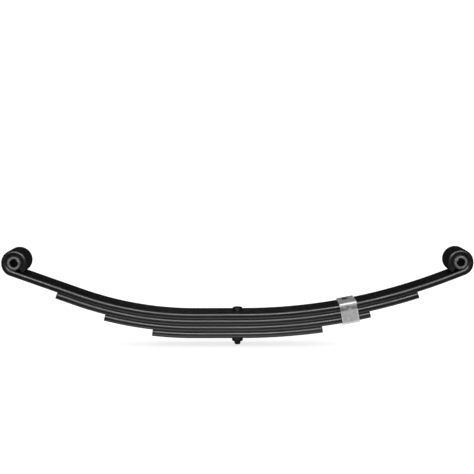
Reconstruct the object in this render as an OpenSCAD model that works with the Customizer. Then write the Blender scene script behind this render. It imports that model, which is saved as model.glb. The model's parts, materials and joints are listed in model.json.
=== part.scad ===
// Double-eye leaf spring: four nested leaves clamped by a centre bolt, held in line by a
// rebound clip, with a bushed and sleeved eye at each end.
// X runs along the spring (front eye at -X, rear eye at +X), Y across the leaves and Z up.
// The origin is on the centre bolt's axis, on the top face of the main leaf.

/* [Spring] */
// Distance between the two eye centres, with the spring unloaded
eye_span = 660.4; // [560:0.1:760]
// Height of the eye centres over the seat face, with the spring unloaded
eye_height = 76; // [50:0.5:90]
// Width of every leaf, over its rounded sides
leaf_w = 44.45; // [38:0.05:64]
// Thickness of every leaf
leaf_t = 9.525; // [6:0.005:12]
// How far the rolled sides of a leaf bulge past its flat faces
side_bulge = 1.9; // [0.5:0.1:3]

/* [Camber] */
// Flat length from the centre bolt towards the front eye
front_flat = 64; // [10:1:80]
// Radius of the front bend, on the main leaf's top face
front_bend_r = 505; // [450:5:900]
// Flat length from the centre bolt towards the rear eye
rear_flat = 8; // [8:1:80]
// Radius of the rear bend, on the main leaf's top face
rear_bend_r = 840; // [450:5:900]

/* [Shorter leaves] */
// Reach of the second leaf each way from the centre bolt
second_reach = 269; // [255:1:290]
// Reach of the third leaf each way from the centre bolt
third_reach = 198; // [185:1:230]
// Reach of the fourth leaf each way from the centre bolt
fourth_reach = 127; // [90:1:150]

/* [Eyes] */
// Inside diameter of a rolled eye
eye_bore_d = 22.2; // [20:0.1:26]
// Outside diameter of a rolled eye, where its wall is thinnest
eye_outer_d = 38.1; // [36:0.1:42]
// Angle left open between the eye's tip and the leaf it rolls back to
eye_open_angle = 60; // [56:1:90]

/* [Bushes and sleeves] */
// Length of a bush, inside the eye
bush_l = 44; // [36:0.5:60]
// Outside diameter of the steel sleeve that turns in the bush
sleeve_d = 19.05; // [17:0.05:20]
// Bore of the sleeve, for the hanger or shackle bolt
sleeve_bore_d = 12.9; // [12.7:0.1:13.5]
// Length of the sleeve, which stands proud of the eye at both sides
sleeve_l = 47.6; // [40:0.1:70]
// Radial running clearance between sleeve and bush, and between bush and eye
running_gap = 0.05; // [0.02:0.01:0.1]

/* [Centre bolt] */
// Thread diameter of the centre bolt
bolt_d = 9.5; // [8:0.1:12]
// Diameter of the hole for it in each leaf
bolt_hole_d = 10.3; // [8.5:0.1:13]
// Diameter of the round locating head
head_d = 14.3; // [13:0.1:20]
// Height of the locating head
head_h = 5.3; // [4:0.1:10]
// Width across the flats of the nut
nut_flats = 14.3; // [13:0.1:19]
// Height of the nut
nut_h = 8.3; // [6:0.1:11]
// Length of thread that shows under the nut
thread_stub_l = 5; // [2:0.5:12]

/* [Rebound clip] */
// Distance of the clip from the centre bolt, towards the rear eye
clip_at = 164; // [150:1:180]
// Width of the clip's strap, along the spring
clip_w = 25.4; // [16:0.1:30]
// Thickness of the strap
clip_t = 2; // [1.5:0.1:4]
// Length of the slot in the strap's top, along the spring
slot_l = 11.8; // [8:0.1:16]
// Width of the slot
slot_w = 4.4; // [3:0.1:6]
// Width of the tongue that comes up through the slot and is folded over
tongue_w = 8.8; // [4:0.1:11]
// Length of the tongue's folded part
tongue_l = 5; // [3:0.1:8]

/* [Hidden] */
$fn = 96;

leaf_count = 4;
clipped_leaves = 3;                 // the clip holds the three upper leaves
pack_t = leaf_count * leaf_t;
eye_r = eye_bore_d / 2;
eye_outer_r = eye_outer_d / 2;
eye_wall = eye_outer_r - eye_r;     // the eye's wall once it has thinned from the full leaf
eye_x = eye_span / 2;
bend_steps = 20;                    // facets along each bend
eye_steps = 40;                     // facets round each eye
side_steps = 3;                     // facets on each half of a leaf's rounded side
cut = 1;                            // how far a cutting tool runs past what it cuts
edge = 0.6;                         // small chamfer on turned ends
clip_gap = 0.2;                     // clearance between the clip and the leaves
clip_corner_r = 3.5;                // outside radius of the strap's corners
slot_back = 5;                      // how far the slot lies behind the leaf's middle line
tongue_off = 1.3;                   // how far the tongue sits from the slot's middle

// Angle of the straight end of the main leaf: it is tangent both to the bend and to the eye.
function end_angle(flat, bend_r) =
    let (along = eye_x - flat, up = bend_r - eye_height, apart = norm([along, up]))
    atan2(along, up) - acos((bend_r - eye_r) / apart);

// Slope of the pack at a distance from the centre bolt.
function slope_at(x, flat, bend_r) = asin((x - flat) / bend_r);

// Section of a rolled bar with bulging sides, as [depth under the top face, place across].
function bar_section(t) =
    let (side_r = (t * t / 4 + side_bulge * side_bulge) / (2 * side_bulge),
         half = asin(t / 2 / side_r),
         centre = leaf_w / 2 - side_r)
    [for (side = [1, -1], i = [-side_steps : side_steps])
        let (a = side * i * half / side_steps)
        [t / 2 + side_r * sin(a), side * (centre + side_r * cos(a))]];

// A station is [x, z, heading, thickness], on the top face of a leaf. These are the ones of
// leaf n (1 is the main leaf) from the seat's middle out to its end. The bends of all leaves
// share one centre, so they nest, and a leaf that reaches past the bend goes on straight.
function bend_stations(n, flat, bend_r, angle, full) =
    let (r = bend_r + (n - 1) * leaf_t, step = full / bend_steps)
    [for (a = [each [0 : step : angle - step / 4], angle])
        [flat + r * sin(a), bend_r - r * cos(a), a, leaf_t]];

function short_stations(n, flat, bend_r, reach) =
    let (r = bend_r + (n - 1) * leaf_t,
         full = end_angle(flat, bend_r),
         past = (reach - flat - (r + leaf_t / 2) * sin(full)) / cos(full),
         angle = past > 0 ? full : slope_at(reach, flat, r + leaf_t / 2),
         bend = bend_stations(n, flat, bend_r, angle, full),
         last = bend[len(bend) - 1])
    past > 0 ? concat(bend, [last + [past * cos(full), past * sin(full), 0, 0]]) : bend;

// The eye is rolled on from where the leaf meets it, and its wall thins over the first quarter.
function eye_stations(full) =
    [for (i = [0 : eye_steps])
        let (b = i * (360 - eye_open_angle) / eye_steps,
             a = full + b,
             thinning = b < 90 ? (leaf_t - eye_wall) * pow(cos(b), 2) : 0)
        [eye_x + eye_r * sin(a), eye_height - eye_r * cos(a), a, eye_wall + thinning]];

// Half of the main leaf, as far as its eye.
function main_stations(flat, bend_r) =
    let (full = end_angle(flat, bend_r))
    concat(bend_stations(1, flat, bend_r, full, full), [eye_stations(full)[0]]);

// Solid bar through its stations, with square-cut ends.
module rolled_bar(stations) {
    ring = len(bar_section(leaf_t));
    last = len(stations) - 1;
    points = [for (s = stations, p = bar_section(s[3]))
        [s[0] + p[0] * sin(s[2]), p[1], s[1] - p[0] * cos(s[2])]];
    skin = [for (k = [0 : last - 1], i = [0 : ring - 1])
        let (j = (i + 1) % ring)
        [k * ring + j, k * ring + i, (k + 1) * ring + i, (k + 1) * ring + j]];
    polyhedron(points, concat(skin,
        [[for (i = [0 : ring - 1]) i]],
        [[for (i = [ring - 1 : -1 : 0]) last * ring + i]]), convexity = 8);
}

// Leaf from the stations of its two halves, drilled for the centre bolt.
module drilled_leaf(rear, front) {
    difference() {
        rolled_bar(concat(
            [for (i = [len(front) - 1 : -1 : 0])
                [-front[i][0], front[i][1], -front[i][2], front[i][3]]],
            rear));
        translate([0, 0, -pack_t - cut]) cylinder(h = pack_t + 2 * cut, d = bolt_hole_d);
    }
}

// Leaf n with square-cut ends, in its place under the ones above it.
module plain_leaf(n, reach) {
    drilled_leaf(short_stations(n, rear_flat, rear_bend_r, reach),
                 short_stations(n, front_flat, front_bend_r, reach));
}

// Turns what is drawn in the XY plane so that Y becomes up.
module upright() {
    rotate([90, 0, 0]) children();
}

// Turned tube along Y with chamfered ends, centred on the origin.
module bushing_tube(r_in, r_out, l) {
    upright() rotate_extrude() polygon([
        [r_in, -l / 2 + edge], [r_in + edge, -l / 2], [r_out - edge, -l / 2],
        [r_out, -l / 2 + edge], [r_out, l / 2 - edge], [r_out - edge, l / 2],
        [r_in + edge, l / 2], [r_in, l / 2 - edge]
    ]);
}

module at_eye(side) {
    translate([side * eye_x, 0, eye_height]) children();
}

module bush() {
    upright() difference() {
        cylinder(h = bush_l, r = eye_r - running_gap, center = true);
        cylinder(h = bush_l + 2 * cut, r = sleeve_d / 2 + running_gap, center = true);
    }
}

module sleeve() {
    bushing_tube(sleeve_bore_d / 2, sleeve_d / 2, sleeve_l);
}

module main_leaf() {
    color([0.07, 0.07, 0.08]) drilled_leaf(main_stations(rear_flat, rear_bend_r),
                                           main_stations(front_flat, front_bend_r));
}

// The rolled eyes are one piece with the main leaf and meet it face to face.
module front_rolled_eye() {
    color([0.07, 0.07, 0.08]) mirror([1, 0, 0])
        rolled_bar(eye_stations(end_angle(front_flat, front_bend_r)));
}

module rear_rolled_eye() {
    color([0.07, 0.07, 0.08]) rolled_bar(eye_stations(end_angle(rear_flat, rear_bend_r)));
}

module second_leaf() {
    color([0.09, 0.09, 0.10]) plain_leaf(2, second_reach);
}

module third_leaf() {
    color([0.08, 0.08, 0.09]) plain_leaf(3, third_reach);
}

module fourth_leaf() {
    color([0.10, 0.10, 0.11]) plain_leaf(4, fourth_reach);
}

// Round locating head on top, shank down through the pack and the thread under the nut.
module centre_bolt() {
    tip = -(pack_t + nut_h + thread_stub_l);
    color([0.16, 0.16, 0.17]) rotate_extrude() polygon([
        [0, tip], [bolt_d / 2 - edge, tip], [bolt_d / 2, tip + edge], [bolt_d / 2, 0],
        [head_d / 2, 0], [head_d / 2, head_h - edge], [head_d / 2 - edge, head_h], [0, head_h]
    ]);
}

// Hex nut under the pack, its lower corners turned back.
module centre_nut() {
    corner_r = nut_flats / sqrt(3);
    chamfer = corner_r - nut_flats / 2;
    color([0.14, 0.14, 0.15]) translate([0, 0, -pack_t - nut_h]) difference() {
        intersection() {
            cylinder(h = nut_h, r = corner_r, $fn = 6);
            union() {
                cylinder(h = chamfer / 2, r1 = nut_flats / 2, r2 = corner_r + cut / 10);
                translate([0, 0, chamfer / 2]) cylinder(h = nut_h, r = corner_r + cut / 10);
            }
        }
        translate([0, 0, -cut]) cylinder(h = nut_h + 2 * cut, r = bolt_d / 2 + running_gap);
    }
}

// Outline of the closed strap across the leaves: x is the width and y the height, with the
// top face of the main leaf at y = 0.
module strap_outline(grow) {
    w = leaf_w + 2 * (clip_gap + grow);
    h = clipped_leaves * leaf_t + 2 * (clip_gap + grow);
    r = clip_corner_r - clip_t + grow;
    translate([-w / 2 + r, -h + clip_gap + grow + r]) {
        translate([0, -r]) square([w - 2 * r, h]);
        translate([-r, 0]) square([w, h - 2 * r]);
        for (x = [0, w - 2 * r], y = [0, h - 2 * r])
            translate([x, y]) circle(r);
    }
}

// Sheet strap closed round three leaves, with a slot in its top and the tongue of the inner
// end folded back over it.
module rebound_clip() {
    tilt = slope_at(clip_at, rear_flat, rear_bend_r);
    rise = rear_bend_r * (1 - cos(tilt));
    top = clip_gap + clip_t;
    color([0.66, 0.67, 0.69]) translate([clip_at, 0, rise]) rotate([0, -tilt, 0]) {
        difference() {
            rotate([90, 0, 90]) linear_extrude(clip_w, center = true) difference() {
                strap_outline(clip_t);
                strap_outline(0);
            }
            translate([-slot_l / 2, slot_back - slot_w / 2, -cut])
                cube([slot_l, slot_w, top + 2 * cut]);
        }
        translate([-tongue_w / 2 - tongue_off, slot_back + slot_w / 2 - clip_t, clip_gap]) {
            cube([tongue_w, clip_t, 2 * clip_t]);
            translate([0, 0, clip_t]) cube([tongue_w, tongue_l, clip_t]);
        }
    }
}

module front_bush() {
    color([0.05, 0.05, 0.05]) at_eye(-1) bush();
}

module front_sleeve() {
    color([0.72, 0.72, 0.73]) at_eye(-1) sleeve();
}

module rear_bush() {
    color([0.05, 0.05, 0.05]) at_eye(1) bush();
}

module rear_sleeve() {
    color([0.72, 0.72, 0.73]) at_eye(1) sleeve();
}

main_leaf();
front_rolled_eye();
rear_rolled_eye();
second_leaf();
third_leaf();
fourth_leaf();
centre_bolt();
centre_nut();
rebound_clip();
front_bush();
front_sleeve();
rear_bush();
rear_sleeve();
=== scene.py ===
"""Double-eye leaf spring: rolled and painted leaves, bushed eyes, centre bolt and rebound clip."""
import json
from math import acos, asin, atan2, ceil, cos, hypot, pi, radians, sin, sqrt

import bmesh
import bpy
from mathutils import Matrix, Vector


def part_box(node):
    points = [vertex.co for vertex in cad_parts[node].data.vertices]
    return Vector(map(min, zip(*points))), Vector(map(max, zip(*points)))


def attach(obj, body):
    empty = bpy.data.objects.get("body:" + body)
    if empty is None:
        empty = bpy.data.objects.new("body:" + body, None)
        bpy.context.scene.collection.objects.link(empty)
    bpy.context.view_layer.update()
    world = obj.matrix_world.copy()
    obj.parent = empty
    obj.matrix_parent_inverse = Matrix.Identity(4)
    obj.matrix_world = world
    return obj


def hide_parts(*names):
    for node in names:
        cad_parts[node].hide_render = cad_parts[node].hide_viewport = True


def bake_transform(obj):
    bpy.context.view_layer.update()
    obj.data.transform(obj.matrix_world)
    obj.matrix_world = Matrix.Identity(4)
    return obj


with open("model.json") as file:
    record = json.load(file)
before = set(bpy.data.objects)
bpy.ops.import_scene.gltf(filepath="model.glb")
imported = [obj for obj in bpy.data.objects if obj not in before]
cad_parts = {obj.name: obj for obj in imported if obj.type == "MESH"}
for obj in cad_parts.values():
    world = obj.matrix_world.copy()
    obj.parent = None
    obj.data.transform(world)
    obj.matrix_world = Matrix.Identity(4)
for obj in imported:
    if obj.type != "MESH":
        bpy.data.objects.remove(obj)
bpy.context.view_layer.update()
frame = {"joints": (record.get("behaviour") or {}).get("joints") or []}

JOINT_AT = {joint["name"]: Vector(joint["pos_m"]) for joint in frame["joints"]}
REAR_EYE = JOINT_AT["rear_sleeve_turn"]
FRONT_EYE = JOINT_AT["front_sleeve_turn"]

# Rolled bar, in metres as everything here
LEAF_WIDE = 0.04445
LEAF_THICK = 0.009525
SIDE_BULGE = 0.0019
SIDE_ROUND = (LEAF_THICK ** 2 / 4 + SIDE_BULGE ** 2) / (2 * SIDE_BULGE)
SIDE_ARC = asin(LEAF_THICK / 2 / SIDE_ROUND)

# Flat seat and bend of each half, on the main leaf's top face
REAR_FLAT, REAR_BEND = 0.008, 0.840
FRONT_FLAT, FRONT_BEND = 0.064, 0.505
SECOND_REACH, THIRD_REACH, FOURTH_REACH = 0.269, 0.198, 0.127

# Rolled eyes
EYE_BORE = 0.0111
EYE_WALL = 0.00795
EYE_TURN = radians(300)

# Centre bolt and nut
BOLT_HOLE = 0.00515
BOLT_SHANK = 0.00475
THREAD_ROOT = 0.0041
THREAD_PITCH = 0.0016
HEAD_ROUND, HEAD_HIGH = 0.00715, 0.0053
NUT_FLATS, NUT_HIGH = 0.0143, 0.0083
STUB = 0.005
PACK_THICK = 4 * LEAF_THICK

# Bushes and sleeves
BUSH_LONG = 0.044
SLEEVE_ROUND, SLEEVE_BORE, SLEEVE_LONG = 0.009525, 0.00645, 0.0476
RUNNING_GAP = 0.00005

# Rebound clip
CLIP_AT = 0.164
CLIP_WIDE, CLIP_THICK, CLIP_GAP = 0.0254, 0.002, 0.0002
CLIP_CORNER = 0.0035
SLOT_LONG, SLOT_WIDE, SLOT_BACK = 0.0118, 0.0044, 0.005
TONGUE_WIDE, TONGUE_LONG, TONGUE_OFF = 0.0088, 0.005, 0.0013
CLIP_SLOPE = asin((CLIP_AT - REAR_FLAT) / REAR_BEND)
CLIP_RISE = REAR_BEND * (1 - cos(CLIP_SLOPE))
CLIP_TOP = CLIP_GAP + CLIP_THICK
CLIP_HIGH = 3 * LEAF_THICK + 2 * (CLIP_GAP + CLIP_THICK)

# Finishes, studio and camera
TURNING_RINGS = 26000  # radians of a sine wave for each metre out from the axis
FLOOR_SIZE = 80
CAMERA_AT = (0, -1.430, 0.2826)
CAMERA_TILT, CAMERA_ROLL = radians(90 - 6.82), radians(0.12)
CAMERA_LENS, CAMERA_SENSOR = 73.15, 36


# ---------------------------------------------------------------- bench work

def add(primitive, name, **at):
    """Adds a primitive at its size and place, with that place in its mesh."""
    bpy.ops.object.select_all(action="DESELECT")
    primitive(**at)
    piece = bpy.context.active_object
    piece.name = piece.data.name = name
    bpy.ops.object.transform_apply(location=True, rotation=True, scale=True)
    return piece


def alone(piece):
    bpy.ops.object.select_all(action="DESELECT")
    piece.select_set(True)
    bpy.context.view_layer.objects.active = piece


def open_up(piece):
    alone(piece)
    bpy.ops.object.mode_set(mode="EDIT")


def close_up():
    bpy.ops.object.mode_set(mode="OBJECT")


def pick(piece, kind, wanted):
    """Selects the vertices, edges or faces that are wanted, and nothing else."""
    bpy.ops.mesh.select_mode(type=kind)
    bpy.ops.mesh.select_all(action="DESELECT")
    mesh = bmesh.from_edit_mesh(piece.data)
    for part in {"VERT": mesh.verts, "EDGE": mesh.edges, "FACE": mesh.faces}[kind]:
        if wanted(part):
            part.select_set(True)
    bmesh.update_edit_mesh(piece.data)


def extrude(by):
    bpy.ops.mesh.extrude_region_move(TRANSFORM_OT_translate={"value": by})


def facing_out():
    bpy.ops.mesh.select_all(action="SELECT")
    bpy.ops.mesh.remove_doubles(threshold=1e-7)
    bpy.ops.mesh.normals_make_consistent(inside=False)


def cut_away(piece, tool, operation="DIFFERENCE"):
    """Cuts the tool out of the piece and puts the tool away."""
    alone(piece)
    bpy.ops.object.modifier_add(type="BOOLEAN")
    boolean = piece.modifiers[-1]
    boolean.operation = operation
    boolean.solver = "EXACT"
    boolean.object = tool
    bpy.ops.object.modifier_apply(modifier=boolean.name)
    bpy.data.objects.remove(tool)


def break_edges(piece, width, segments=2, sharper_than=30):
    """Rounds over the sharp edges, then shades the rest smooth."""
    alone(piece)
    bpy.ops.object.modifier_add(type="BEVEL")
    bevel = piece.modifiers[-1]
    bevel.width = width
    bevel.segments = segments
    bevel.limit_method = "ANGLE"
    bevel.angle_limit = radians(sharper_than)
    bpy.ops.object.modifier_apply(modifier=bevel.name)
    bpy.ops.object.shade_smooth_by_angle(angle=radians(35))


def turned(name, at, along, profile, hollow, sides=72):
    """Turns a piece on a lathe: profile is pairs of distance along the axis and radius."""
    on_y = along.y > 0.5
    far, radius = profile[0]
    piece = add(bpy.ops.mesh.primitive_circle_add, name, vertices=sides, radius=radius,
                location=at + along * far, rotation=(pi / 2 if on_y else 0, 0, 0))
    open_up(piece)
    bpy.ops.mesh.select_mode(type="EDGE")
    bpy.ops.mesh.select_all(action="SELECT")
    stops = profile[1:] + ([profile[0]] if hollow else [])
    for next_far, next_radius in stops:
        extrude(along * (next_far - far))
        grow = next_radius / radius
        bpy.ops.transform.resize(value=(grow, 1 if on_y else grow, grow if on_y else 1),
                                 center_override=at + along * next_far)
        far, radius = next_far, next_radius
    bpy.ops.mesh.select_all(action="SELECT")
    bpy.ops.mesh.remove_doubles(threshold=1e-6)
    if not hollow:
        bpy.ops.mesh.fill_holes(sides=0)
    facing_out()
    close_up()
    return piece


# ------------------------------------------------------------------- leaves

def end_slope(flat, bend, eye):
    """Slope of the main leaf's straight end, tangent both to the bend and to the eye."""
    along, up = abs(eye.x) - flat, bend - eye.z
    return atan2(along, up) - acos((bend - EYE_BORE) / hypot(along, up))


def flat_seat(name, top):
    """The flat middle of a leaf, with the rounded sides of rolled bar."""
    middle = top - LEAF_THICK / 2
    narrow = LEAF_WIDE - 2 * SIDE_BULGE
    leaf = add(bpy.ops.mesh.primitive_cube_add, name, size=1,
               location=((REAR_FLAT - FRONT_FLAT) / 2, 0, middle),
               scale=(REAR_FLAT + FRONT_FLAT, narrow, LEAF_THICK))
    open_up(leaf)
    strips = 5
    turns = [i * SIDE_ARC / strips for i in range(1 - strips, strips)]
    for turn in turns:
        bpy.ops.mesh.select_all(action="SELECT")
        bpy.ops.mesh.bisect(plane_co=(0, 0, middle + SIDE_ROUND * sin(turn)), plane_no=(0, 0, 1))
    for turn in turns:
        height = middle + SIDE_ROUND * sin(turn)
        across = LEAF_WIDE / 2 - SIDE_ROUND * (1 - cos(turn))
        pick(leaf, "VERT", lambda vert: abs(vert.co.z - height) < 1e-5)
        bpy.ops.transform.resize(value=(1, 2 * across / narrow, 1),
                                 center_override=(0, 0, height))
    for x in (-0.05, -0.04, -0.03, -0.02, -0.01, 0):  # rings across the seat
        bpy.ops.mesh.select_all(action="SELECT")
        bpy.ops.mesh.bisect(plane_co=(x, 0, 0), plane_no=(1, 0, 0))
    return leaf


def bend_up(side, flat, bend, slope):
    bpy.ops.mesh.spin(steps=ceil(slope / radians(0.8)), angle=side * slope,
                      center=(side * flat, 0, bend), axis=(0, 1, 0))


def run_on(side, length, slope):
    """Carries the end on straight."""
    steps = ceil(length / 0.012)
    for _ in range(steps):
        extrude(Vector((side * cos(slope), 0, sin(slope))) * length / steps)


def roll_eye(side, eye, slope):
    """Rolls the end round into an eye, whose wall thins over the first quarter turn."""
    steps = 50
    wall = LEAF_THICK
    for i in range(1, steps + 1):
        bpy.ops.mesh.spin(steps=1, angle=side * EYE_TURN / steps, center=eye, axis=(0, 1, 0))
        rolled = EYE_TURN * i / steps
        if rolled > pi / 2 + 0.01:
            continue
        thinner = EYE_WALL + (LEAF_THICK - EYE_WALL) * cos(rolled) ** 2
        out = Vector((side * sin(slope + rolled), 0, -cos(slope + rolled)))
        on = Vector((cos(slope + rolled), 0, side * sin(slope + rolled)))
        turn = Matrix((on, (0, 1, 0), out)).transposed()
        bpy.ops.transform.resize(value=(1, 1, thinner / wall), orient_type="GLOBAL",
                                 orient_matrix=turn, orient_matrix_type="GLOBAL",
                                 center_override=eye + out * EYE_BORE)
        wall = thinner


def rolled_leaf(name, number, reach=None):
    """Leaf of that number, counted from the main leaf, which has eyes instead of a reach."""
    sunk = (number - 1) * LEAF_THICK
    leaf = flat_seat(name, -sunk)
    for side, flat, bend, eye in ((1, REAR_FLAT, REAR_BEND, REAR_EYE),
                                  (-1, FRONT_FLAT, FRONT_BEND, FRONT_EYE)):
        slope = end_slope(flat, bend, eye)
        middle_r = bend + sunk + LEAF_THICK / 2
        pick(leaf, "FACE", lambda face: face.normal.x * side > 0.9
             and abs(face.calc_center_median().x - side * flat) < 1e-5)
        if reach is None:
            bend_up(side, flat, bend, slope)
            tangent = hypot(abs(eye.x) - flat, bend - eye.z)
            run_on(side, sqrt(tangent ** 2 - (bend - EYE_BORE) ** 2), slope)
            roll_eye(side, eye, slope)
        else:
            past = (reach - flat - middle_r * sin(slope)) / cos(slope)
            bend_up(side, flat, bend, slope if past > 0 else asin((reach - flat) / middle_r))
            if past > 0:
                run_on(side, past, slope)
    facing_out()
    close_up()
    drill = add(bpy.ops.mesh.primitive_cylinder_add, "drill", vertices=64, radius=BOLT_HOLE,
                depth=LEAF_THICK * 3, location=(0, 0, -sunk - LEAF_THICK / 2))
    cut_away(leaf, drill)
    break_edges(leaf, 0.0005, 3)
    return leaf


# ------------------------------------------------------- bolt, bushes, clip

def centre_bolt():
    """Round locating head, shank and rolled thread, turned in one."""
    tip = -PACK_THICK - NUT_HIGH - STUB
    thread = []
    z = tip + 0.0012
    while z < -PACK_THICK - 0.002:
        thread += [(z, THREAD_ROOT), (z + THREAD_PITCH * 0.4, BOLT_SHANK),
                   (z + THREAD_PITCH * 0.55, BOLT_SHANK)]
        z += THREAD_PITCH
    head = [(HEAD_HIGH - 0.0012 + 0.0012 * sin(a), HEAD_ROUND - 0.0012 + 0.0012 * cos(a))
            for a in (0, pi / 8, pi / 4, 3 * pi / 8, pi / 2)]
    profile = ([(tip, 0.0036), (tip + 0.0005, 0.0042)] + thread
               + [(z, BOLT_SHANK - 0.0001), (0, BOLT_SHANK - 0.0001),
                  (0, HEAD_ROUND - 0.0003), (0.0003, HEAD_ROUND)]
               + head + [(HEAD_HIGH, 0.0038), (HEAD_HIGH - 0.0003, 0.0030)])
    bolt = turned("centre_bolt_turned", Vector((0, 0, 0)), Vector((0, 0, 1)), profile,
                  hollow=False)
    break_edges(bolt, 0.0001, 1, 50)
    return bolt


def centre_nut():
    """Hexagon nut with its corners turned back at both faces."""
    corner = NUT_FLATS / sqrt(3)
    foot = -PACK_THICK - NUT_HIGH
    nut = add(bpy.ops.mesh.primitive_cylinder_add, "centre_nut_turned", vertices=6,
              radius=corner, depth=NUT_HIGH, location=(0, 0, foot + NUT_HIGH / 2),
              rotation=(0, 0, pi / 6))
    lean = (corner - NUT_FLATS / 2) * 0.62
    blank = turned("blank", Vector((0, 0, 0)), Vector((0, 0, 1)),
                   [(foot, NUT_FLATS / 2 - 0.0002), (foot + lean, corner + 0.0002),
                    (foot + NUT_HIGH - lean * 0.7, corner + 0.0002),
                    (foot + NUT_HIGH, NUT_FLATS / 2 + 0.0003)], hollow=False)
    cut_away(nut, blank, "INTERSECT")
    bore = turned("bore", Vector((0, 0, 0)), Vector((0, 0, 1)),
                  [(foot - 0.001, BOLT_SHANK + 0.0012), (foot + 0.0009, BOLT_SHANK + 0.00005),
                   (foot + NUT_HIGH + 0.001, BOLT_SHANK + 0.00005)], hollow=False)
    cut_away(nut, bore)
    break_edges(nut, 0.00025, 2)
    return nut


def bush(name, eye):
    """Rubber bush pressed in the eye, its ends a little crowned."""
    outer, inner, half = EYE_BORE - RUNNING_GAP, SLEEVE_ROUND + RUNNING_GAP, BUSH_LONG / 2
    wall = outer - inner
    ring = [(half - 0.0005, outer), (half - 0.0001, outer - wall * 0.25),
            (half, outer - wall * 0.5), (half - 0.0001, inner + wall * 0.25),
            (half - 0.0005, inner)]
    profile = ring + [(-far, radius) for far, radius in reversed(ring)]
    piece = turned(name, eye, Vector((0, 1, 0)), profile, hollow=True, sides=96)
    alone(piece)
    bpy.ops.object.shade_smooth_by_angle(angle=radians(50))
    return piece


def sleeve(name, eye):
    """Turned steel sleeve with chamfered ends, standing a little proud of the eye."""
    half, lead = SLEEVE_LONG / 2, 0.0006
    ring = [(half - lead, SLEEVE_BORE), (half, SLEEVE_BORE + lead),
            (half, SLEEVE_ROUND - lead), (half - lead, SLEEVE_ROUND)]
    profile = ring + [(-far, radius) for far, radius in reversed(ring)]
    piece = turned(name, eye, Vector((0, 1, 0)), profile, hollow=True, sides=96)
    break_edges(piece, 0.00012, 2)
    return piece


def folded_tongue():
    """Inner end of the strap: up through the slot, then folded down flat behind it."""
    back = SLOT_BACK + SLOT_WIDE / 2
    fold = 0.0004
    tongue = add(bpy.ops.mesh.primitive_cube_add, "tongue", size=1,
                 location=(-TONGUE_OFF, back - CLIP_THICK / 2,
                           CLIP_GAP + (CLIP_TOP - CLIP_GAP - fold) / 2),
                 scale=(TONGUE_WIDE, CLIP_THICK, CLIP_TOP - CLIP_GAP - fold))
    open_up(tongue)
    pick(tongue, "FACE", lambda face: face.normal.z > 0.9)
    bpy.ops.mesh.spin(steps=8, angle=pi / 2, center=(0, back + fold, CLIP_TOP - fold),
                      axis=(1, 0, 0))
    extrude((0, TONGUE_LONG - CLIP_THICK - fold, 0))
    facing_out()
    close_up()
    return tongue


def rebound_clip():
    """Strap bent closed round three leaves, slotted for the tongue."""
    wide = LEAF_WIDE + 2 * (CLIP_GAP + CLIP_THICK)
    clip = add(bpy.ops.mesh.primitive_cube_add, "rebound_clip_folded", size=1,
               location=(0, 0, CLIP_TOP - CLIP_HIGH / 2), scale=(CLIP_WIDE, wide, CLIP_HIGH))
    open_up(clip)
    pick(clip, "FACE", lambda face: abs(face.normal.x) > 0.9)
    bpy.ops.mesh.delete(type="ONLY_FACE")
    pick(clip, "EDGE",
         lambda edge: abs(edge.verts[0].co.x - edge.verts[1].co.x) > CLIP_WIDE / 2)
    bpy.ops.mesh.bevel(offset=CLIP_CORNER, segments=8, affect="EDGES")
    facing_out()
    close_up()
    bpy.ops.object.modifier_add(type="SOLIDIFY")
    wall = clip.modifiers[-1]
    wall.thickness = CLIP_THICK
    wall.offset = -1
    wall.use_even_offset = True
    bpy.ops.object.modifier_apply(modifier=wall.name)
    punch = add(bpy.ops.mesh.primitive_cube_add, "punch", size=1,
                location=(0, SLOT_BACK, CLIP_TOP), scale=(SLOT_LONG, SLOT_WIDE, CLIP_THICK * 4))
    break_edges(punch, 0.0008, 4)
    cut_away(clip, punch)
    break_edges(clip, 0.0003, 2, 40)
    tongue = folded_tongue()
    break_edges(tongue, 0.0003, 2, 40)
    alone(clip)
    tongue.select_set(True)
    bpy.ops.object.join()
    open_up(clip)
    bpy.ops.mesh.select_all(action="SELECT")
    bpy.ops.transform.rotate(value=CLIP_SLOPE, orient_axis="Y", center_override=(0, 0, 0))
    bpy.ops.transform.translate(value=(CLIP_AT, 0, CLIP_RISE))
    close_up()
    return clip


# ---------------------------------------------------------------- finishes

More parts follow.
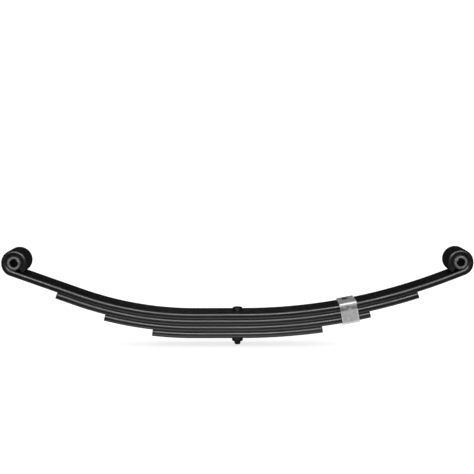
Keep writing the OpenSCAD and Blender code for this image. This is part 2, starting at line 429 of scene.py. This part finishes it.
class Finish:
    """A material being mixed: nodes are added one by one and wired by name."""

    def __init__(self, name, base, metallic, roughness):
        self.material = bpy.data.materials.new(name)
        self.material.use_nodes = True
        self.tree = self.material.node_tree
        self.shader = self.tree.nodes["Principled BSDF"]
        self.shader.inputs["Base Color"].default_value = (*base, 1)
        self.shader.inputs["Metallic"].default_value = metallic
        self.shader.inputs["Roughness"].default_value = roughness
        self.place = self.add("ShaderNodeTexCoord").outputs["Object"]

    def add(self, kind, **settings):
        node = self.tree.nodes.new(kind)
        for name, value in settings.items():
            setattr(node, name, value)
        return node

    def wire(self, source, node, socket):
        self.tree.links.new(source, node.inputs[socket])

    def noise(self, scale, detail=3.0, roughness=0.55, place=None):
        node = self.add("ShaderNodeTexNoise")
        node.inputs["Scale"].default_value = scale
        node.inputs["Detail"].default_value = detail
        node.inputs["Roughness"].default_value = roughness
        self.wire(place or self.place, node, "Vector")
        return node.outputs["Fac"]

    def stretched(self, scale, at=(0, 0, 0), turn=(0, 0, 0), place=None):
        node = self.add("ShaderNodeMapping", vector_type="POINT")
        node.inputs["Scale"].default_value = scale
        node.inputs["Location"].default_value = at
        node.inputs["Rotation"].default_value = turn
        self.wire(place or self.place, node, "Vector")
        return node.outputs["Vector"]

    def ramp(self, value, low, high, dark=0.0, light=1.0):
        """Spreads what lies between low and high over dark to light."""
        node = self.add("ShaderNodeMapRange")
        node.interpolation_type = "SMOOTHSTEP"
        self.wire(value, node, "Value")
        node.inputs["From Min"].default_value = low
        node.inputs["From Max"].default_value = high
        node.inputs["To Min"].default_value = dark
        node.inputs["To Max"].default_value = light
        return node.outputs["Result"]

    def maths(self, operation, first, second):
        node = self.add("ShaderNodeMath", operation=operation)
        for slot, value in enumerate((first, second)):
            if isinstance(value, (int, float)):
                node.inputs[slot].default_value = value
            else:
                self.tree.links.new(value, node.inputs[slot])
        return node.outputs["Value"]

    def mix(self, amount, first, second):
        node = self.add("ShaderNodeMix", data_type="RGBA")
        self.wire(amount, node, "Factor")
        for slot, value in ((6, first), (7, second)):
            if isinstance(value, tuple):
                node.inputs[slot].default_value = (*value, 1)
            else:
                self.tree.links.new(value, node.inputs[slot])
        return node.outputs[2]

    def between(self, value, low, high, soft):
        """One between low and high, fading to nothing over the soft margin."""
        return self.maths("MULTIPLY", self.ramp(value, low - soft, low),
                          self.ramp(value, high + soft, high))

    def rough(self, value):
        self.wire(value, self.shader, "Roughness")

    def colour(self, value):
        self.wire(value, self.shader, "Base Color")

    def bump(self, height, distance, strength=1.0, under=None):
        node = self.add("ShaderNodeBump")
        node.inputs["Strength"].default_value = strength
        node.inputs["Distance"].default_value = distance
        self.wire(height, node, "Height")
        if under is not None:
            self.wire(under, node, "Normal")
        self.wire(node.outputs["Normal"], self.shader, "Normal")
        return node.outputs["Normal"]


def spring_paint():
    """Thin black paint over rolled steel, dusty where it faces up near the seat."""
    paint = Finish("black_spring_paint", (0.006, 0.006, 0.006), 0.0, 0.34)
    scale_marks = paint.noise(260, 5, 0.6)
    grain = paint.noise(1500, 2, 0.5)
    streaks = paint.noise(90, 4, 0.6, paint.stretched((0.12, 1.6, 1.6)))
    faces = paint.add("ShaderNodeSeparateXYZ")
    paint.wire(paint.add("ShaderNodeNewGeometry").outputs["Normal"], faces, "Vector")
    upward = paint.ramp(faces.outputs["Z"], 0.75, 0.98)
    along = paint.add("ShaderNodeSeparateXYZ")
    paint.wire(paint.place, along, "Vector")
    handled = paint.ramp(paint.maths("ABSOLUTE", paint.maths("ADD", along.outputs["X"], 0.035), 0),
                         0.20, 0.03, 0.22, 1.0)
    specks = paint.maths("MULTIPLY", paint.ramp(paint.noise(560, 4, 0.7), 0.50, 0.66), handled)
    dust = paint.maths("MULTIPLY", specks, upward)
    paint.colour(paint.mix(dust, (0.0055, 0.0055, 0.006), (0.075, 0.075, 0.075)))
    paint.rough(paint.maths("ADD", paint.ramp(streaks, 0.3, 0.7, 0.26, 0.40),
                            paint.maths("MULTIPLY", dust, 0.3)))
    under = paint.bump(scale_marks, 0.00022, 0.5)
    paint.bump(grain, 0.00006, 0.5, under)
    return paint.material


def fastener_black():
    """Black paint over a turned bolt and nut, a little worn."""
    black = Finish("black_fastener", (0.015, 0.015, 0.016), 0.0, 0.42)
    worn = black.ramp(black.noise(700, 5, 0.65), 0.58, 0.72)
    black.colour(black.mix(worn, (0.005, 0.005, 0.0055), (0.022, 0.021, 0.020)))
    black.rough(black.ramp(black.noise(320, 3), 0.3, 0.7, 0.34, 0.55))
    black.bump(black.noise(1300, 3), 0.0001, 0.5)
    return black.material


def clip_zinc():
    """Dull zinc plate with a painted dark reflection on its upper front, and marks that follow the
    clip's shape.

    Its edges and foot carry a painted highlight, and its front bend a brighter one. The slot's
    walls and the front of the tongue are coloured nearly black as a painted shadow, so the narrow
    gap between them can be seen from afar.
    """
    zinc = Finish("zinc_plate", (0.45, 0.45, 0.46), 0.3, 0.42)
    # Distances from the clip's own middle, on the leaf's top face and square to it
    square = zinc.stretched((1, 1, 1), (-CLIP_AT, 0, -CLIP_RISE))
    square = zinc.stretched((1, 1, 1), turn=(0, CLIP_SLOPE, 0), place=square)
    across = zinc.add("ShaderNodeSeparateXYZ")
    zinc.wire(square, across, "Vector")
    x, y, z = across.outputs
    mottle = zinc.noise(230, 5, 0.62)
    fine = zinc.noise(1100, 3, 0.6)
    brushed = zinc.noise(420, 4, 0.6, zinc.stretched((1.0, 1.0, 0.12)))
    tone = zinc.mix(zinc.ramp(mottle, 0.35, 0.68), (0.36, 0.36, 0.37), (0.46, 0.46, 0.47))
    tone = zinc.mix(zinc.ramp(fine, 0.55, 0.75, 0.0, 0.4), tone, (0.58, 0.58, 0.58))
    foot = CLIP_TOP - CLIP_HIGH
    # Painted highlight: the strap's side edges and its foot are coloured lighter
    painted_edge_highlight = zinc.maths("MAXIMUM", zinc.ramp(zinc.maths("ABSOLUTE", x, 0), 0.0108, 0.0124),
                        zinc.ramp(z, foot + 0.005, foot + 0.002))
    tone = zinc.mix(zinc.maths("MULTIPLY", painted_edge_highlight, 0.55), tone, (0.74, 0.74, 0.74))
    # Painted highlight: a bright band along the front bend at the top of the clip
    bend = zinc.maths("MULTIPLY", zinc.ramp(y, -0.0212, -0.0224),
                      zinc.between(z, -0.0003, 0.0012, 0.0007))
    tone = zinc.mix(zinc.maths("MULTIPLY", bend, 0.7), tone, (0.86, 0.86, 0.86))
    # Painted reflection: a dark band across the upper front face
    painted_dark_reflection = zinc.maths("MULTIPLY", zinc.between(z, -0.0085, -0.0042, 0.0022),
                        zinc.ramp(zinc.noise(170, 3, 0.5), 0.30, 0.62, 0.35, 1.0))
    tone = zinc.mix(zinc.maths("MULTIPLY", painted_dark_reflection, 0.85), tone, (0.095, 0.095, 0.095))
    topside = zinc.maths("MULTIPLY", zinc.ramp(z, 0.0012, 0.0019),
                         zinc.ramp(zinc.noise(260, 4, 0.65), 0.42, 0.60))
    tone = zinc.mix(zinc.maths("MULTIPLY", topside, 0.55), tone, (0.12, 0.12, 0.12))
    # Painted shadow: the slot's walls and the front of the tongue's fold are coloured nearly black
    # and made rough, standing in for the shade in the narrow gap
    slot = zinc.maths("MULTIPLY", zinc.between(x, -SLOT_LONG / 2, SLOT_LONG / 2, 0.0003),
                      zinc.between(y, SLOT_BACK - SLOT_WIDE / 2, SLOT_BACK + SLOT_WIDE / 2,
                                   0.0003))
    slot = zinc.maths("MULTIPLY", slot, zinc.ramp(z, CLIP_TOP - 0.0001, CLIP_TOP - 0.0004))
    fold_front_shadow = zinc.maths("MULTIPLY", zinc.between(z, -0.001, CLIP_TOP + 0.0016, 0.0002),
                            zinc.between(y, SLOT_BACK, SLOT_BACK + 0.0017, 0.0002))
    fold_front_shadow = zinc.maths("MULTIPLY", fold_front_shadow,
                            zinc.between(x, -SLOT_LONG / 2, SLOT_LONG / 2 - 0.0002, 0.0001))
    painted_slot_shadow = zinc.maths("MAXIMUM", slot, fold_front_shadow)
    zinc.colour(zinc.mix(painted_slot_shadow, tone, (0.006, 0.006, 0.006)))
    zinc.rough(zinc.maths("MAXIMUM", zinc.ramp(brushed, 0.3, 0.7, 0.34, 0.52),
                          zinc.maths("MULTIPLY", painted_slot_shadow, 0.95)))
    under = zinc.bump(brushed, 0.00008, 0.5)
    zinc.bump(fine, 0.00005, 0.4, under)
    return zinc.material


def bush_rubber():
    """Moulded rubber with a faint bloom."""
    rubber = Finish("black_rubber", (0.016, 0.016, 0.016), 0.0, 0.62)
    bloom = rubber.ramp(rubber.noise(500, 4), 0.45, 0.7)
    rubber.colour(rubber.mix(bloom, (0.012, 0.012, 0.012), (0.028, 0.028, 0.028)))
    rubber.rough(rubber.ramp(rubber.noise(240, 3), 0.3, 0.7, 0.52, 0.74))
    rubber.bump(rubber.noise(1800, 2), 0.00008, 0.6)
    return rubber.material


def sleeve_steel(name, eye):
    """Stained steel with fine turning rings round the eye's axis, and painted shade deep in its
    bore.
    """
    steel = Finish(name, (0.50, 0.50, 0.50), 0.6, 0.38)
    centred = steel.stretched((1, 1, 1), (-eye.x, 0, -eye.z))
    flat = steel.stretched((1, 0.02, 1), place=centred)
    length = steel.add("ShaderNodeVectorMath", operation="LENGTH")
    steel.wire(flat, length, 0)
    rings = steel.add("ShaderNodeMath", operation="SINE")
    steel.wire(steel.maths("MULTIPLY", length.outputs["Value"], TURNING_RINGS), rings, 0)
    stain = steel.noise(300, 4, 0.6)
    bright = steel.mix(steel.ramp(stain, 0.35, 0.65), (0.30, 0.30, 0.30), (0.12, 0.118, 0.115))
    # Painted shade: the bore is coloured nearly black deep inside the sleeve
    depth = steel.add("ShaderNodeSeparateXYZ")
    steel.wire(steel.place, depth, "Vector")
    half = SLEEVE_LONG / 2
    bore_shade_depth = steel.ramp(steel.maths("ABSOLUTE", depth.outputs["Y"], 0),
                      half - 0.0015, half - 0.007)
    bore = steel.ramp(length.outputs["Value"], SLEEVE_BORE + 0.0004, SLEEVE_BORE + 0.0001)
    steel.colour(steel.mix(steel.maths("MULTIPLY", bore, bore_shade_depth), bright, (0.012, 0.012, 0.011)))
    steel.rough(steel.ramp(stain, 0.3, 0.7, 0.30, 0.48))
    steel.bump(rings.outputs["Value"], 0.00002, 0.5)
    return steel.material


def coat(piece, material):
    piece.data.materials.clear()
    piece.data.materials.append(material)


# ------------------------------------------------------------------ studio

def card(name, at, aim, wide, high, power):
    """Soft light box at a place, aimed at a point, wide along X."""
    bpy.ops.object.select_all(action="DESELECT")
    bpy.ops.object.light_add(type="AREA", location=at)
    light = bpy.context.active_object
    light.name = name
    light.data.shape = "RECTANGLE"
    light.data.size, light.data.size_y = wide, high
    light.data.energy = power
    light.rotation_euler = (Vector(aim) - Vector(at)).to_track_quat("-Z", "Y").to_euler()
    return light


def studio():
    """Pale floor and surround that reflections don't see, lit by a soft box and a low strip."""
    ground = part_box("centre_bolt")[0].z
    floor = add(bpy.ops.mesh.primitive_plane_add, "floor", size=FLOOR_SIZE,
                location=(0, 0, ground))
    floor.visible_glossy = False
    pale = bpy.data.materials.new("pale_floor")
    pale.use_nodes = True
    shader = pale.node_tree.nodes["Principled BSDF"]
    shader.inputs["Base Color"].default_value = (0.45, 0.45, 0.45, 1)
    shader.inputs["Roughness"].default_value = 0.9
    shader.inputs["Emission Color"].default_value = (1, 1, 1, 1)
    shader.inputs["Emission Strength"].default_value = 0.72
    coat(floor, pale)

    world = bpy.data.worlds.new("pale_room")
    bpy.context.scene.world = world
    world.use_nodes = True
    tree = world.node_tree
    tree.nodes.clear()
    out = tree.nodes.new("ShaderNodeOutputWorld")
    mix = tree.nodes.new("ShaderNodeMixShader")
    path = tree.nodes.new("ShaderNodeLightPath")
    bright, dark = (tree.nodes.new("ShaderNodeBackground") for _ in range(2))
    bright.inputs["Color"].default_value = (1, 1, 1, 1)
    bright.inputs["Strength"].default_value = 1.05
    dark.inputs["Color"].default_value = (1, 1, 1, 1)
    dark.inputs["Strength"].default_value = 0.022
    tree.links.new(path.outputs["Is Glossy Ray"], mix.inputs[0])
    tree.links.new(bright.outputs[0], mix.inputs[1])
    tree.links.new(dark.outputs[0], mix.inputs[2])
    tree.links.new(mix.outputs[0], out.inputs["Surface"])

    softbox = card("front_softbox", (0, -1.40, 0.78), (0, 0, 0), 1.8, 0.24, 30)
    softbox.visible_diffuse = False
    low = card("low_strip", (0, -0.045, ground + 0.001), (0, -0.045, 1), 0.9, 0.034, 0.16)
    low.visible_camera = False
    low.visible_diffuse = False


def camera():
    """Camera square to the spring, a little above it, with plain colours."""
    bpy.ops.object.select_all(action="DESELECT")
    bpy.ops.object.camera_add(location=CAMERA_AT, rotation=(CAMERA_TILT, CAMERA_ROLL, 0))
    cam = bpy.context.active_object
    cam.name = "product_camera"
    cam.data.sensor_width = CAMERA_SENSOR
    cam.data.lens = CAMERA_LENS
    bpy.context.scene.camera = cam
    bpy.context.scene.view_settings.view_transform = "Standard"


# ---------------------------------------------------------------- assembly

paint = spring_paint()
for leaf, nodes in (
        (rolled_leaf("main_leaf_rolled", 1), ("main_leaf", "front_rolled_eye", "rear_rolled_eye")),
        (rolled_leaf("second_leaf_rolled", 2, SECOND_REACH), ("second_leaf",)),
        (rolled_leaf("third_leaf_rolled", 3, THIRD_REACH), ("third_leaf",)),
        (rolled_leaf("fourth_leaf_rolled", 4, FOURTH_REACH), ("fourth_leaf",))):
    coat(leaf, paint)
    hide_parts(*nodes)
    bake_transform(leaf)

clip = rebound_clip()
coat(clip, clip_zinc())
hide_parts("rebound_clip")
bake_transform(clip)

black = fastener_black()
for piece, node in ((centre_bolt(), "centre_bolt"), (centre_nut(), "centre_nut")):
    coat(piece, black)
    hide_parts(node)
    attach(piece, "seat")

rubber = bush_rubber()
for end, eye in (("front", FRONT_EYE), ("rear", REAR_EYE)):
    piece = bush(end + "_bush_moulded", eye)
    coat(piece, rubber)
    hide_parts(end + "_bush")
    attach(piece, end + "_half")
    piece = sleeve(end + "_sleeve_turned", eye)
    coat(piece, sleeve_steel(end + "_sleeve_steel", eye))
    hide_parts(end + "_sleeve")
    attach(piece, end + "_sleeve_body")

studio()
camera()
